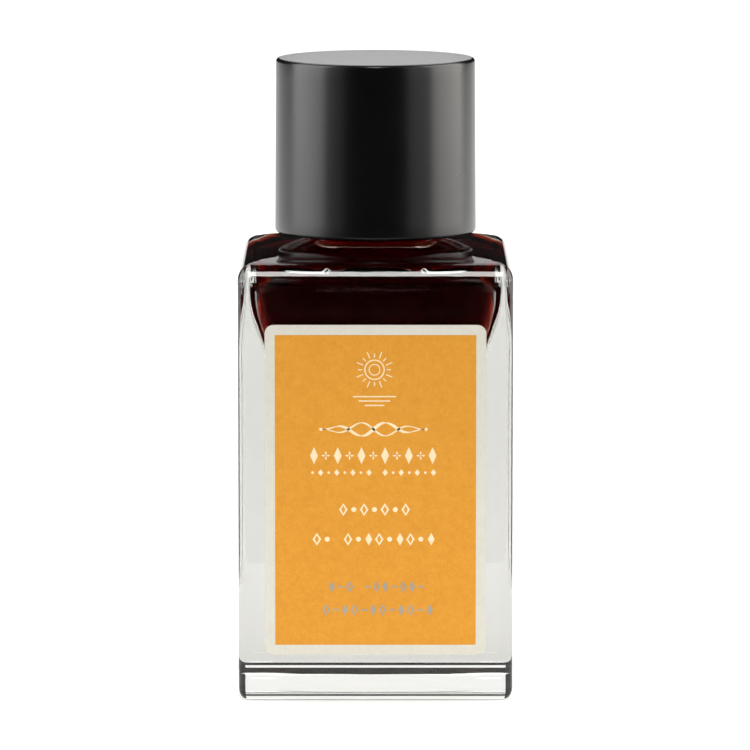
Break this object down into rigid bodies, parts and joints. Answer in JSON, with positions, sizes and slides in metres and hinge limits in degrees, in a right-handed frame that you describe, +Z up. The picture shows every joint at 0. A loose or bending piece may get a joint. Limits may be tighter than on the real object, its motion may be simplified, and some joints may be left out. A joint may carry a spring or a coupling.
{
  "type": "ink bottle",
  "caption": "Small square clear glass bottle of dark amber fountain-pen ink with an orange paper label and a tall satin black cylindrical screw cap.",
  "frame": {"origin": "middle of the base, on the desk", "axes": "+Z up along the neck and cap, -Y towards the front label, +X to the right seen from the front"},
  "size_m": [0.028, 0.0282, 0.0647],
  "materials": {
    "clear_glass": "clear, thick, fire-polished",
    "ink": "very dark amber-brown liquid",
    "label_paper": "uncoated paper, cream border with an orange printed panel",
    "cap_plastic": "satin black, moulded",
    "insert_plastic": "black, as moulded",
    "wad_foam": "white closed-cell foam"
  },
  "bodies": {
    "bottle": {"glass_bottle": "clear_glass", "ink": "ink", "front_label": "label_paper"},
    "seal": {"sealing_wad": "wad_foam"},
    "cap": {"cap_shell": "cap_plastic", "cap_insert": "insert_plastic"}
  },
  "joints": [
    {"name": "cap_lift", "type": "slide", "parent": "bottle", "child": "seal", "axis": [0, 0, 1], "range_m": [0, 0.00423]},
    {"name": "cap_turn", "type": "hinge", "parent": "seal", "child": "cap", "pos_m": [0, 0, 0.0467], "axis": [0, 0, 1], "range_deg": [0, 720]}
  ],
  "couplings": [
    {"joint": "cap_lift", "follows": "cap_turn", "m_per_rad": 0.00033688}
  ]
}
